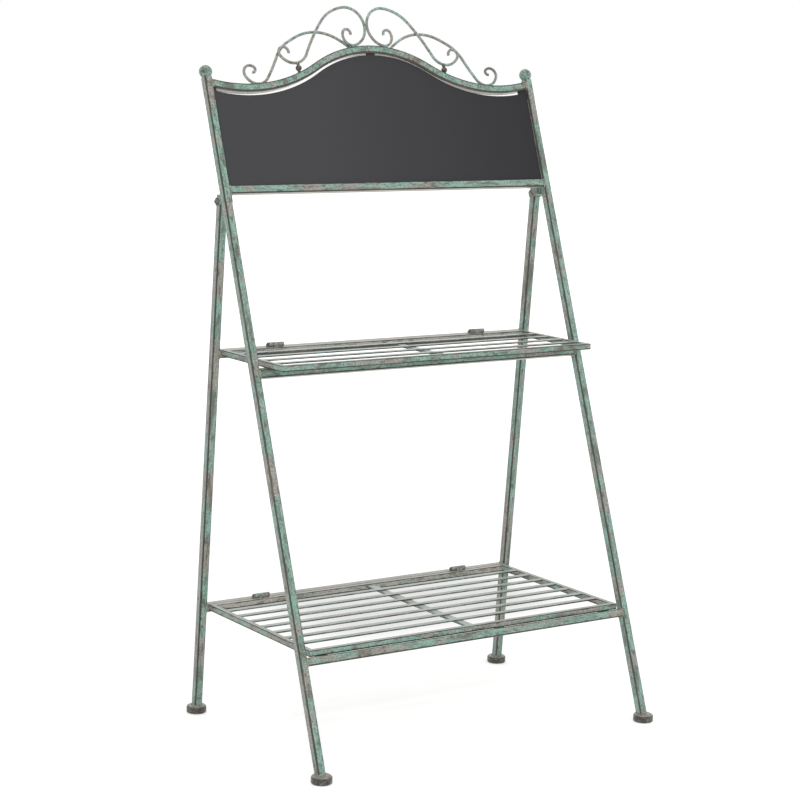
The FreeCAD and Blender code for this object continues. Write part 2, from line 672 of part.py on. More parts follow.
# Rest lugs on the front bars
for shelf, across, place in (("lower", "(shelf_width / 2 - lower_rest_inset)", "tube / 2 - rest_depth"),
                             ("upper", "(shelf_width - rail) / 2", "-tube / 2")):
    lugs = [primitive("Box", "Lug",
                      {"Length": "rest_length", "Width": "rest_depth", "Height": shelf + "_rest"},
                      ("%s * %s - rest_length / 2" % (sign, across), place,
                       shelf + "_bar_along + tube / 2")) for side, sign in SIDES]
    lugs = group(lugs, "Lugs")
    on_front(lugs)
    keep(lugs, shelf + "_rest_lugs")

# Shelves: mitred rails, slats on a strut, and the shelf halves of the hinges
for shelf in SHELVES:
    depth = shelf + "_depth"
    for name, low, high in (("front", "-" + depth, "-%s + rail" % depth), ("rear", "0", "-rail")):
        rail = new_body("Rail")
        sketch = outline(rail, "Mitre", (
            ("-shelf_width / 2", low), ("shelf_width / 2", low),
            ("shelf_width / 2 - rail", high), ("-shelf_width / 2 + rail", high)))
        bind(sketch, "AttachmentOffset.Base.z", "-rail / 2")
        pad(rail, sketch, "rail", mid=True)
        edge = "-%s + rail_wall" % depth if name == "front" else "-rail + rail_wall"
        block(rail, "Subtractive", "Bore", ("-shelf_width / 2", edge, "-rail + rail_wall"),
              ("shelf_width", "rail - 2 * rail_wall", "rail - 2 * rail_wall"))
        round_tube(rail, "x", "rail", "rail_round")
        on_shelf(rail, shelf)
        keep(rail, "%s_shelf_%s_rail" % (shelf, name))
    for side, sign in SIDES:
        rail = new_body("Rail")
        sketch = outline(rail, "Mitre", (
            (sign + " * shelf_width / 2", "0"), (sign + " * shelf_width / 2", "-" + depth),
            (sign + " * (shelf_width / 2 - rail)", "-%s + rail" % depth),
            (sign + " * (shelf_width / 2 - rail)", "-rail")))
        bind(sketch, "AttachmentOffset.Base.z", "-rail / 2")
        pad(rail, sketch, "rail", mid=True)
        block(rail, "Subtractive", "Bore",
              ("%s * (shelf_width - rail) / 2 - rail / 2 + rail_wall" % sign,
               "-" + depth, "-rail + rail_wall"),
              ("rail - 2 * rail_wall", depth, "rail - 2 * rail_wall"))
        round_tube(rail, "y", "rail", "rail_round")
        on_shelf(rail, shelf)
        keep(rail, "%s_shelf_%s_rail" % (shelf, side))

    slats = [primitive("Box", "Slat",
                       {"Length": "shelf_width - 2 * rail", "Width": "slat_width",
                        "Height": "slat_thick"},
                       ("-shelf_width / 2 + rail",
                        "-rail / 2 - %s_rear_slot - %d * %s_pitch - slat_width / 2"
                        % (shelf, i, shelf),
                        "-slat_thick")) for i in range(int(size(shelf + "_slats")))]
    slats = group(slats, "Slats")
    on_shelf(slats, shelf)
    keep(slats, shelf + "_shelf_slats")
    strut = primitive("Box", "Strut",
                      {"Length": "strut_width", "Width": depth + " - 2 * rail",
                       "Height": "strut_thick"},
                      ("strut_shift - strut_width / 2", "-%s + rail" % depth,
                       "-slat_thick - strut_thick"))
    strut = group([strut], "Strut")
    on_shelf(strut, shelf)
    keep(strut, shelf + "_shelf_strut")

    fixed_half, swing_half, pins = [], [], []
    envelope = primitive("Box", "Bar_envelope",
                         {"Length": "rear_width", "Width": "tube", "Height": "tube"},
                         ("-rear_width / 2", "-tube / 2", shelf + "_rear_along - tube / 2"))
    envelope = group([envelope], "Envelope")
    on_rear(envelope)
    for side, sign in SIDES:
        inner = "hinge_length * hinge_share"
        flank = "(hinge_length - %s) / 2" % inner
        centre = sign + " * (shelf_width / 2 - hinge_inset)"
        y, z = shelf + "_back + hinge_gap / 2", shelf + "_top + hinge_radius"
        runs = (("swing", centre + " - " + inner + " / 2 + knuckle_play",
                 inner + " - 2 * knuckle_play"),
                ("fixed", centre + " - hinge_length / 2", flank),
                ("fixed", centre + " + " + inner + " / 2", flank))
        for kind, start, length in runs:
            moving = kind == "swing"
            barrel = primitive("Cylinder", "Barrel", {"Radius": "hinge_radius", "Height": length},
                               (start, y, z), ((0, 1, 0), 90))
            sole = primitive("Box", "Sole",
                             {"Length": length, "Width": "hinge_foot",
                              "Height": "hinge_radius" if moving else "2 * hinge_radius"},
                             (start, y + " - hinge_foot" if moving else y,
                              shelf + "_top" + ("" if moving else " - hinge_radius")))
            bore = primitive("Cylinder", "Bore",
                             {"Radius": "hinge_pin + hinge_play" if moving else "hinge_pin",
                              "Height": length}, (start, y, z), ((0, 1, 0), 90))
            knuckle = cut(merged([barrel, sole], "Knuckle"), bore, "Knuckle")
            if moving:
                swing_half.append(knuckle)
            else:
                fixed_half.append(cut(knuckle, envelope, "Knuckle"))
        rod = primitive("Cylinder", "Pin", {"Radius": "hinge_pin", "Height": "hinge_length"},
                        (centre + " - hinge_length / 2", y, z), ((0, 1, 0), 90))
        caps = [primitive("Cylinder", "Cap",
                          {"Radius": "hinge_pin_head", "Height": "hinge_pin_cap"},
                          (place, y, z), ((0, 1, 0), 90))
                for place in (centre + " - hinge_length / 2 - hinge_pin_cap",
                              centre + " + hinge_length / 2")]
        pins.append(merged([rod] + caps, "Pin"))
    keep(group(fixed_half, "Knuckles"), shelf + "_hinge_bar_knuckles")
    keep(group(swing_half, "Knuckles"), shelf + "_hinge_shelf_knuckles")
    keep(group(pins, "Pins"), shelf + "_hinge_pins")

doc.recompute()
bad = [item.Label for item in doc.Objects if "Invalid" in item.State or "Error" in item.State]
if bad:
    raise RuntimeError("not built: " + ", ".join(bad))
os.makedirs("parts", exist_ok=True)
for item in pieces:
    if item.Shape.isNull() or not item.Shape.isValid() or not item.Shape.Solids:
        raise RuntimeError("bad shape: " + item.Label)
    item.Shape.exportStep("parts/%s.step" % item.Label)
print(len(pieces), "pieces")
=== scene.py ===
"""Looks of a folding two-shelf plant stand with a chalkboard sign and a scrolled crest.

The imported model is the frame. Its steel nodes keep their shapes and get their
finishes here; welds, feet, finials, bolts, nuts and end plugs are modelled on top.
"""

import logging
import math
import random
from collections.abc import Iterator
from contextlib import contextmanager
from dataclasses import dataclass
from enum import Enum
from typing import NamedTuple

import bpy
from mathutils import Matrix, Vector
from mathutils.kdtree import KDTree


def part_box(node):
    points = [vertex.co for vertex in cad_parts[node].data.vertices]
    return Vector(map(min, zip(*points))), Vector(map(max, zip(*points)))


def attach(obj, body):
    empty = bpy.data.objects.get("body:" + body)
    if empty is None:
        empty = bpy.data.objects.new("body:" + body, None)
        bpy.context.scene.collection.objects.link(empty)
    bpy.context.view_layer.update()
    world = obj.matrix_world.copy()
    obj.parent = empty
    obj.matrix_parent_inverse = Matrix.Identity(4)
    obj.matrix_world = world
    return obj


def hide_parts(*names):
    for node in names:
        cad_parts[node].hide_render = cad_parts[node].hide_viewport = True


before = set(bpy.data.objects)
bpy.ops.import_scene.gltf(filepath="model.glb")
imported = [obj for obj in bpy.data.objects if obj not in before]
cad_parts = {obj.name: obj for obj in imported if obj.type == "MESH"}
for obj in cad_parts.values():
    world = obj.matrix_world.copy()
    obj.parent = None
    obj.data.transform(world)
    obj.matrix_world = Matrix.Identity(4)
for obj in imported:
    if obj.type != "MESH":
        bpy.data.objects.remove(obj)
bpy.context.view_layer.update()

log = logging.getLogger("plant_stand")
MM = 0.001
CREASE = math.radians(40)  # edges sharper than this stay crisp
MERGE_GAP = 0.002 * MM  # corners closer than this are one

Socket = bpy.types.NodeSocket
Material = bpy.types.Material
Piece = bpy.types.Object
Pair = tuple[float, float]
Spot = tuple[float, float, float]


class Lean(Enum):
    """The three ways in which the steel stands: foot place along Y and lean about X."""

    FRONT = (-0.1972, -19.94)
    REAR = (0.1972, 4.871)
    LEVEL = (0.0, 0.0)

    @property
    def matrix(self) -> Matrix:
        """Turn and place from the leaning frame's own axes to the row frame."""
        foot, angle = self.value
        return Matrix.Translation((0, foot, 0)) @ Matrix.Rotation(math.radians(angle), 4, "X")


class Side(Enum):
    """Left and right, as seen from the front."""

    LEFT = -1
    RIGHT = 1

    @property
    def word(self) -> str:
        """The side as it stands in the names of nodes."""
        return self.name.lower()


@dataclass(frozen=True)
class Sizes:
    """Sizes of the steel that the details sit on, in millimetres."""

    front_leg: float = 302.65
    rear_leg: float = 297.0
    half: float = 6.35
    leg_end: float = 1074.0
    rear_end: float = 836.8
    foot_top: float = 12.5
    cheek_outer: float = 305.6
    cheek_inner: float = 288.4
    pivot_along: float = 885.25
    pivot_behind: float = 23.69


SIZES = Sizes()


class Legs(NamedTuple):
    """A pair of legs: the word for its place, its body, its lean and its half spread."""

    place: str
    body: str
    lean: Lean
    across: float


LEG_PAIRS = (Legs("front", "front_frame", Lean.FRONT, SIZES.front_leg),
             Legs("rear", "rear_frame", Lean.REAR, SIZES.rear_leg))


def srgb(code: str) -> tuple[float, float, float, float]:
    """Turn a hex sRGB colour into linear values.

    Args:
        code: Colour such as "#7fb09e".

    Returns:
        Linear red, green and blue, with an alpha of 1.
    """
    parts = [int(code[i:i + 2], 16) / 255 for i in (1, 3, 5)]
    linear = [c / 12.92 if c <= 0.04045 else ((c + 0.055) / 1.055) ** 2.4 for c in parts]
    return (*linear, 1.0)


def add(tree: bpy.types.NodeTree, kind: str, links: dict | None = None,
        **settings: object) -> bpy.types.Node:
    """Add a node with its settings and links.

    Args:
        tree: Node tree of the material or world.
        kind: Node type without its "ShaderNode" prefix.
        links: Input socket name or number to the output socket that feeds it.
        **settings: Node properties; a name the node lacks is an input socket,
            and "_3" is input socket number 3.

    Returns:
        The new node.
    """
    node = tree.nodes.new("ShaderNode" + kind)
    for name, value in settings.items():
        if hasattr(node, name):
            setattr(node, name, value)
        else:
            key = int(name[1:]) if name.startswith("_") else name.replace("_", " ")
            node.inputs[key].default_value = value
    for key, source in (links or {}).items():
        tree.links.new(source, node.inputs[key])
    return node


def corners(node: str) -> list[Vector]:
    """Corners of a CAD node in the row frame."""
    return [v.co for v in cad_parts[node].data.vertices]


def new_tree(name: str) -> tuple[Material, bpy.types.NodeTree]:
    """Make a material with an empty node tree.

    Args:
        name: Name of the material.

    Returns:
        The material and its tree.
    """
    material = bpy.data.materials.new(name)
    material.use_nodes = True
    material.node_tree.nodes.clear()
    return material, material.node_tree


class Band(NamedTuple):
    """Soft step in a pattern: one value below low, and the share above high."""

    low: float
    high: float
    share: float = 1.0
    below: float = 0.0


@dataclass
class Weave:
    """Steps that materials share, in a tree and on the coordinates that patterns follow."""

    tree: bpy.types.NodeTree
    place: Socket | None = None
    usual: Pair = (0.3, 0.7)  # most of a noise lies between these

    def math(self, operation: str, *terms: object) -> Socket:
        """Calculate with sockets and plain numbers.

        Args:
            operation: Name of the operation.
            *terms: Sockets or numbers, in order.

        Returns:
            The result's socket.
        """
        links = {i: t for i, t in enumerate(terms) if isinstance(t, Socket)}
        plain = {"_%d" % i: t for i, t in enumerate(terms) if i not in links}
        return add(self.tree, "Math", links, operation=operation, **plain).outputs[0]

    def cloud(self, size: float, detail: float, rough: float, shift: float,
              along: Spot = (1, 1, 1)) -> Socket:
        """Noise of a given size.

        Args:
            size: Size of its largest spots in millimetres.
            detail: Octaves.
            rough: Share of the finer octaves.
            shift: Shift that keeps two noises apart.
            along: Factors on the three axes; below one it stretches the spots.

        Returns:
            The noise, mostly within the usual limits.
        """
        spot = add(self.tree, "Mapping", {0: self.place}, Location=(shift, shift, -shift),
                   Scale=along).outputs[0]
        return add(self.tree, "TexNoise", {0: spot}, Scale=1 / (size * MM), Detail=detail,
                   Roughness=rough).outputs[0]

    def band(self, value: Socket, step: Band) -> Socket:
        """Turn a pattern into a share by a soft step."""
        return add(self.tree, "MapRange", {0: value}, interpolation_type="SMOOTHSTEP",
                   _1=step.low, _2=step.high, _3=step.below, _4=step.share).outputs[0]

    def blend(self, share: Socket, under: object, over: object) -> Socket:
        """Lay one colour over another by a share; each is a socket or a hex colour."""
        links, plain = {0: share}, {}
        for number, colour in ((6, under), (7, over)):
            if isinstance(colour, str):
                plain["_%d" % number] = srgb(colour)
            else:
                links[number] = colour
        return add(self.tree, "Mix", links, data_type="RGBA", **plain).outputs[2]

    def gloss(self, noise: Socket, roughness: float, spread: float) -> Socket:
        """Roughness that falls by twice the spread as the noise rises."""
        return add(self.tree, "MapRange", {0: noise}, _1=self.usual[0], _2=self.usual[1],
                   _3=roughness + spread, _4=roughness - spread).outputs[0]

    def surface(self, colour: Socket, height: Socket, strength: float, relief: float,
                links: dict | None = None, **settings: float) -> None:
        """Close the material with its relief, shader and output.

        Args:
            colour: Base colour.
            height: Pattern of the relief.
            strength: Share of the relief that shows.
            relief: Its depth in millimetres.
            links: Further inputs of the shader that follow a pattern.
            **settings: Inputs of the shader that are the same all over.
        """
        bump = add(self.tree, "Bump", {"Height": height}, Strength=strength,
                   Distance=relief * MM).outputs[0]
        shader = add(self.tree, "BsdfPrincipled",
                     {"Base Color": colour, "Normal": bump, **(links or {})}, **settings)
        add(self.tree, "OutputMaterial", {0: shader.outputs[0]})


@dataclass(frozen=True)
class Section:
    """Cross-section of a bar in its own leaning frame, for the worn lines along its edges.

    The two axes are those across the bar; centre and half are metres on them. A pitch
    other than zero repeats the section along the first axis, as for a row of slats.
    """

    axes: tuple[int, int]
    centre: Pair
    half: Pair
    pitch: float = 0.0

    @classmethod
    def of(cls, node: str, lean: Lean) -> "Section":
        """Read a node's section from its corners in the leaning frame.

        Args:
            node: Name of the CAD node.
            lean: The frame that it stands in.

        Returns:
            The section across the node's longest side.
        """
        back = lean.matrix.inverted()
        spots = [back @ p for p in corners(node)]
        low = [min(p[i] for p in spots) for i in range(3)]
        high = [max(p[i] for p in spots) for i in range(3)]
        reach = [b - a for a, b in zip(low, high)]
        along = reach.index(max(reach))
        one, two = (i for i in range(3) if i != along)
        return cls((one, two), ((low[one] + high[one]) / 2, (low[two] + high[two]) / 2),
                   (reach[one] / 2, reach[two] / 2))

    @classmethod
    def of_slats(cls, node: str) -> "Section":
        """Read the section of a row of slats that run along X."""
        ys = sorted({round(p.y, 5) for p in corners(node)})
        low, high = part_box(node)
        return cls((1, 2), ((ys[0] + ys[1]) / 2, (low[2] + high[2]) / 2),
                   ((ys[1] - ys[0]) / 2, (high[2] - low[2]) / 2), ys[2] - ys[0])

    @property
    def along(self) -> int:
        """The axis that the bar runs along."""
        return 3 - sum(self.axes)


@dataclass(frozen=True)
class Arch:
    """Line of the arched rail in the front frame: its two bends and its half side."""

    crest_centre: float = 915.6 * MM
    crest_radius: float = 205.65 * MM
    dip_across: float = 236.7 * MM
    dip_centre: float = 1313.5 * MM
    dip_radius: float = 257.35 * MM
    half: float = SIZES.half * MM

    @property
    def slope(self) -> float:
        """Share of height over the crest's centre at which crest and dip join."""
        return self.dip_across / (self.dip_centre - self.crest_centre)

    def top(self, x: float) -> float:
        """Height of the rail's top face along the leg, at x metres from the middle."""
        crest = self.crest_radius + self.half
        join = self.dip_across * crest / (self.crest_radius + self.dip_radius)
        if abs(x) < join:
            return self.crest_centre + math.sqrt(crest ** 2 - x * x)
        dip = self.dip_radius - self.half
        return self.dip_centre - math.sqrt(dip ** 2 - (abs(x) - self.dip_across) ** 2)


@dataclass(frozen=True)
class VerdigrisPaint:
    """Brushed blue-green enamel over a bronze undercoat, on mild steel tube.

    Sponged on in thin coats and rubbed back with steel wool: the eye sees mottled
    aqua and grey, brown where the undercoat shows, and near-black lines along edges.
    Pattern sizes are millimetres on the steel. The line is the width of the worn
    edge, and its lean makes it wide at the lower front and left and thin elsewhere;
    the widened part is partly wear and partly painted shade. It wanders and frays,
    is full over its core and is gone past its fade. Upward faces get a painted
    highlight (dark wear on the balls), and downward faces painted light and shade.
    """

    undercoat: str = "#251d17"
    umber: str = "#56493b"
    aqua: str = "#8ab5a6"
    sage: str = "#739588"
    grey: str = "#9a938b"
    pale: str = "#c8cdc3"
    # painted light and shade on downward faces: pale on most pieces, dark on the rods
    bone: str = "#cfc8bd"
    # painted highlight on upward faces; on the balls it is dark wear instead
    top_sheen_and_wear: str = "#b4b0a8"
    drift: float = 60.0
    streak: float = 9.0
    stretch: float = 0.30
    grain: float = 2.4
    zone: float = 26.0
    line: float = 1.02
    # the lean's widened lines stand partly for painted shade
    line_lean: float = -0.50
    line_core: float = 0.20
    line_fade: float = 0.45
    line_share: float = 0.97
    wander: float = 2.0
    fray: float = 1.8
    side_grey: float = 0.05
    ragged: float = 0.5
    grey_level: float = 0.53
    umber_level: float = 0.545
    aqua_streaks: Band = Band(0.40, 0.60)
    pale_grain: Band = Band(0.53, 0.66, 0.50)
    umber_grain: Band = Band(0.53, 0.68, 0.55)
    umber_zones: Band = Band(0.545, 0.65, 0.66)
    # share of the painted highlight on upward faces
    top_sheen_and_wear_band: Band = Band(0.80, 0.95, 0.62)
    # share of the painted underside shading
    underside_shading_band: Band = Band(0.75, 0.95, 0.8)
    line_tones: Band = Band(0.50, 0.70)
    roughness: float = 0.42
    relief: float = 0.45

    def edge_distance(self, weave: Weave, place: Socket, section: "Section | Arch") -> Socket:
        """Distance along the surface to the nearest long edge of a bar, in metres.

        Args:
            weave: Steps for the tree.
            place: The place in the leaning frame.
            section: Cross-section, or the arch.

        Returns:
            That distance, less the extra width of the lines on the worn sides.
        """
        def inset(value: Socket, centre: float, half: float, way: float = 1.0,
                  pitch: float = 0.0) -> Socket:
            """Distance from the nearer of two opposite faces, less the line's lean."""
            off = weave.math("SUBTRACT", value, centre)
            if pitch:
                off = weave.math("WRAP", off, pitch / 2, -pitch / 2)
            size = weave.math("SUBTRACT", half, weave.math("ABSOLUTE", off))
            extra = weave.math("MULTIPLY", weave.math("SIGN", off), self.line_lean * way * MM)
            return weave.math("SUBTRACT", size, extra)

        axes = add(weave.tree, "SeparateXYZ", {0: place}).outputs
        if isinstance(section, Section):
            rows = zip(section.axes, section.centre, section.half, (section.pitch, 0.0))
            return weave.math("ADD", *(inset(axes[axis], centre, half, pitch=pitch)
                                       for axis, centre, half, pitch in rows))
        across = weave.math("ABSOLUTE", axes[0])
        spans = []
        for middle, height in ((0.0, section.crest_centre),
                               (section.dip_across, section.dip_centre)):
            both = add(weave.tree, "CombineXYZ", {0: weave.math("SUBTRACT", across, middle),
                                                  1: weave.math("SUBTRACT", axes[2], height)})
            spans.append(add(weave.tree, "VectorMath", {0: both.outputs[0]},
                             operation="LENGTH").outputs[1])
        rise = weave.math("SUBTRACT", axes[2], section.crest_centre)
        in_dip = weave.math("GREATER_THAN", across, weave.math("MULTIPLY", rise, section.slope))
        crest = inset(spans[0], section.crest_radius, section.half)
        dip = inset(spans[1], section.dip_radius, section.half, -1.0)
        radial = add(weave.tree, "Mix", {0: in_dip, 2: crest, 3: dip}, data_type="FLOAT")
        return weave.math("ADD", radial.outputs[0], inset(axes[1], 0.0, section.half))

    def build(self, name: str, lean: Lean, section: "Section | Arch | None" = None,
              seed: float = 0.0) -> Material:
        """Make the paint for one piece.

        Args:
            name: Name of the material.
            lean: The frame in which the piece stands.
            section: Cross-section for the worn edges, if it has any.
            seed: Shift of the patterns in metres, so that no two pieces match.

        Returns:
            The material.
        """
        material, tree = new_tree(name)
        place = add(tree, "TexCoord").outputs
        foot, angle = lean.value
        local = add(tree, "Mapping", {0: place["Object"]}, vector_type="TEXTURE",
                    Location=(0, foot, 0), Rotation=(math.radians(angle), 0, 0)).outputs[0]
        moved = add(tree, "Mapping", {0: local}, Location=(seed, seed * 0.7, -seed)).outputs[0]
        weave = Weave(tree, moved)
        run = [1.0, 1.0, 1.0]
        if isinstance(section, Section):
            run[section.along] = self.stretch
        along = tuple(run)

        drift = weave.cloud(self.drift, detail=3.0, rough=0.55, shift=0.0)
        streak = weave.cloud(self.streak, detail=4.0, rough=0.60, shift=1.3, along=along)
        patch = weave.cloud(self.streak * 2.2, detail=5.0, rough=0.64, shift=3.7, along=along)
        grain = weave.cloud(self.grain, detail=2.0, rough=0.55, shift=2.1)
        speck = weave.cloud(self.grain * 1.8, detail=3.0, rough=0.65, shift=5.1, along=along)
        zone = weave.cloud(self.zone, detail=4.0, rough=0.66, shift=7.7, along=along)

        colour = weave.blend(weave.band(streak, self.aqua_streaks), self.sage, self.aqua)
        normal = add(tree, "SeparateXYZ", {0: place["Normal"]}).outputs
        side = weave.math("ABSOLUTE", normal[0])
        greyed = weave.math("MULTIPLY_ADD", side, self.side_grey, drift)
        worn_off = weave.math("MULTIPLY_ADD", patch, self.ragged, greyed)
        level = self.grey_level + self.ragged / 2
        over_grain = weave.math("SUBTRACT", 1.0, grain)
        if lean is Lean.FRONT:
            down = add(tree, "VectorMath", {0: place["Normal"]}, operation="DOT_PRODUCT",
                       _1=tuple(-(lean.matrix.to_3x3() @ Vector((0, 0, 1))))).outputs[1]
        else:
            down = weave.math("MULTIPLY", normal[2], -1.0)
        for pattern, step, over in (
                (worn_off, Band(level - 0.04, level + 0.10, 0.85), self.grey),
                (grain, self.pale_grain, self.pale),
                (over_grain, self.umber_grain, self.umber),
                (speck, Band(self.umber_level, self.umber_level + 0.09, 0.75), self.umber),
                (zone, self.umber_zones, self.umber),
                # Upward faces: painted highlight of the light from above, dark wear on the balls.
                (normal[2], self.top_sheen_and_wear_band, self.top_sheen_and_wear),
                # Downward faces: painted light and shade, pale on most pieces and dark on the
                # rods.
                (down, self.underside_shading_band, self.bone)):
            colour = weave.blend(weave.band(pattern, step), colour, over)
        if section is not None:
            distance = self.edge_distance(weave, local, section)
            wobble = weave.math("MULTIPLY_ADD", streak, -self.wander * MM, self.wander / 2 * MM)
            rough = weave.math("MULTIPLY_ADD", speck, -self.fray * MM, wobble)
            near = weave.math("ADD", weave.math("ADD", distance, rough), self.fray / 2 * MM)
            edge = Band((self.line - self.line_core) * MM, (self.line + self.line_fade) * MM,
                        0.0, self.line_share)
            tone = weave.blend(weave.band(patch, self.line_tones), self.undercoat, self.umber)
            colour = weave.blend(weave.band(near, edge), colour, tone)

        height = weave.math("MULTIPLY_ADD", grain, 0.6, streak)
        gloss = weave.gloss(patch, self.roughness, spread=0.08)
        weave.surface(colour, height, strength=0.30, relief=self.relief,
                      links={"Roughness": gloss}, IOR=1.5, Coat_Weight=0.25,
                      Coat_Roughness=0.22)
        return material


# The enamel as it is on the square tube of legs and bars.
BAR_PAINT = VerdigrisPaint()
# The same enamel on flat bar laid level: paler and greyer, with a painted highlight on the
# tops and hair-thin worn edges, widened at the front edge by painted shade.
SLAT_PAINT = VerdigrisPaint(aqua="#90b3a7", sage="#7f9c91", grey="#a19d95", umber="#5f554a",
                            top_sheen_and_wear="#bcbfb8", line=0.40, line_lean=-0.30, roughness=0.38)
# The same enamel on the rails at the back: rubbed almost to the pinkish-grey primer.
RUBBED_PAINT = VerdigrisPaint(aqua="#a3aea5", sage="#92998f", grey="#b3aaa2", umber="#6b6157",
                              grey_level=0.47)
# The same enamel on the hinges: mostly rubbed off round the knuckles.
HINGE_PAINT = VerdigrisPaint(aqua="#8fa89c", sage="#7b8478", grey="#98908a", umber="#4a4036",
                             streak=6.0, zone=9.0, grey_level=0.46, umber_level=0.50)
# The same enamel on the brackets: thick, dark and blotched.
BLOTCHED_PAINT = VerdigrisPaint(aqua="#75a092", sage="#5f8276", grey="#87817a",
                                umber="#43392f", umber_level=0.50, streak=5.0, zone=12.0)
# The same enamel on the arch, with a wider dark line along the lower edge: partly wear, partly
# painted shade.
ARCH_PAINT = VerdigrisPaint(undercoat="#33241a", grey="#a29a92", line=1.45, line_lean=-0.85)
# The same enamel on thin round rod: more of the undercoat and of the grey is left,
# with painted shade on the undersides and a painted highlight on top.
ROD_PAINT = VerdigrisPaint(aqua="#93b5a9", sage="#7f9489", grey="#98928a", umber="#5a5046",
                           bone="#4e453b", top_sheen_and_wear="#aeb9b0", streak=11.0, grain=4.6,
                           grey_level=0.47, umber_level=0.56)
# The same enamel on the balls: worn dark in wide patches, from hands and weather.
BALL_PAINT = VerdigrisPaint(aqua="#80ac9d", sage="#6c9185", umber="#3d342b", top_sheen_and_wear="#655a4e",
                            streak=7.0, zone=13.0, umber_level=0.51, grey_level=0.66)
# Touched-up welds: beige and olive primer shows through a thin coat.
WELD_PAINT = VerdigrisPaint(aqua="#88a896", sage="#7c8775", grey="#9a927f", umber="#483d30",
                            streak=5.0, grain=1.6, zone=8.0, grey_level=0.48, umber_level=0.51)


@dataclass(frozen=True)
class PlainFinish:
    """A finish of one colour with a cloudy second one, fine grain and a little relief."""

    name: str
    base: str
    cloud: str
    cloud_size: float
    grain_size: float
    roughness: float
    relief: float
    level: float = 0.5

    def build(self) -> Material:
        """Make the material."""
        material, tree = new_tree(self.name)
        weave = Weave(tree, add(tree, "TexCoord").outputs["Object"])
        wide = weave.cloud(self.cloud_size, detail=4.0, rough=0.6, shift=0.0)
        fine = weave.cloud(self.grain_size, detail=2.0, rough=0.5, shift=1.7)
        step = Band(self.level - 0.12, self.level + 0.14)
        colour = weave.blend(weave.band(wide, step), self.base, self.cloud)
        gloss = weave.gloss(wide, self.roughness, spread=0.06)
        weave.surface(colour, fine, strength=0.3, relief=self.relief,
                      links={"Roughness": gloss}, IOR=1.5)
        return material


@dataclass(frozen=True)
class FootEnamel:
    """Bronze enamel on the feet: painted highlight on top, dark with blue-green spots at sides."""

    name: str = "bronze_enamel_feet"
    dark: str = "#2d261f"
    teal: str = "#4b6f63"
    # the pale top is a painted highlight
    top: str = "#a19c92"
    worn: str = "#5c544a"
    dust: str = "#958f84"
    teal_spots: Band = Band(0.55, 0.62, 0.8)
    dusty_flecks: Band = Band(0.56, 0.64, 0.75)
    worn_flecks: Band = Band(0.46, 0.57, 0.85)
    crown: Band = Band(0.58, 0.80)
    crown_fray: float = 0.5

    def build(self) -> Material:
        """Make the material."""
        material, tree = new_tree(self.name)
        place = add(tree, "TexCoord").outputs
        weave = Weave(tree, place["Object"])
        spots = weave.cloud(7.0, detail=4.0, rough=0.6, shift=0.4)
        grain = weave.cloud(1.8, detail=2.0, rough=0.5, shift=2.2)
        fleck = weave.cloud(2.6, detail=3.0, rough=0.65, shift=4.2, along=(1, 1, 1.6))
        normal = add(tree, "SeparateXYZ", {0: place["Normal"]}).outputs
        side = weave.blend(weave.band(spots, self.teal_spots), self.dark, self.teal)
        side = weave.blend(weave.band(fleck, self.dusty_flecks), side, self.dust)
        top = weave.blend(weave.band(fleck, self.worn_flecks), self.top, self.worn)
        upward = weave.math("MULTIPLY_ADD", weave.math("SUBTRACT", grain, 0.5), self.crown_fray,
                            normal[2])
        # Upward faces take the top colour, a painted highlight frayed by the grain.
        colour = weave.blend(weave.band(upward, self.crown), side, top)
        weave.surface(colour, grain, strength=0.25, relief=0.3, Roughness=0.36, IOR=1.5,
                      Coat_Weight=0.3, Coat_Roughness=0.2)
        return material


@dataclass(frozen=True)
class BoardPaint:
    """Chalkboard paint, rolled on sheet steel: flat charcoal with a very fine tooth.

    Towards the left it is paler, a painted gradient of light. The tooth is its grit in
    millimetres, drawn coarser than the real one so that it shows.
    """

    name: str = "chalkboard_paint"
    left: str = "#4b4b4d"
    right: str = "#3a3a3d"
    painted_light_from: float = -0.14
    painted_light_to: float = 0.28
    tooth: float = 1.4

    def build(self) -> Material:
        """Make the material."""
        material, tree = new_tree(self.name)
        place = add(tree, "TexCoord").outputs["Object"]
        weave = Weave(tree, place)
        axes = add(tree, "SeparateXYZ", {0: place}).outputs
        # Painted gradient of light: paler on the left, darker on the right.
        across = add(tree, "MapRange", {0: axes[0]}, _1=self.painted_light_from,
                     _2=self.painted_light_to).outputs[0]
        tooth = weave.cloud(self.tooth, detail=2.0, rough=0.5, shift=0.0)
        weave.surface(weave.blend(across, self.left, self.right), tooth, strength=0.2,
                      relief=0.05, Roughness=0.85, IOR=1.22)
        return material


# Stoved enamel over steel, brushed dark: satin, brown-black, with rubbed lighter spots.
BRONZE = PlainFinish("bronze_enamel", "#3a332c", "#7d776c", 6.0, 1.1, 0.42, 0.3, level=0.56)
# Low-density polyethylene, injection moulded: waxy off-white.
GLIDE = PlainFinish("moulded_polyethylene", "#cdc5b4", "#b5ab99", 9.0, 1.0, 0.45, 0.1)


def dress(node: str, material: Material) -> None:
    """Give a CAD node its finish in every material slot."""
    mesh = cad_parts[node].data
    mesh.materials.clear()
    mesh.materials.append(material)


def joined(pieces: list[Piece]) -> Piece:
    """Join pieces into the first of them."""
    bpy.ops.object.select_all(action="DESELECT")
    for piece in pieces:
        piece.select_set(True)
    bpy.context.view_layer.objects.active = pieces[0]
    bpy.ops.object.join()
    return pieces[0]


@contextmanager
def editing() -> Iterator[None]:
    """Edit the active piece, all of it selected, and turn its faces outwards at the end."""
    bpy.ops.object.mode_set(mode="EDIT")
    bpy.ops.mesh.select_all(action="SELECT")
    yield
    bpy.ops.mesh.normals_make_consistent(inside=False)
    bpy.ops.object.mode_set(mode="OBJECT")


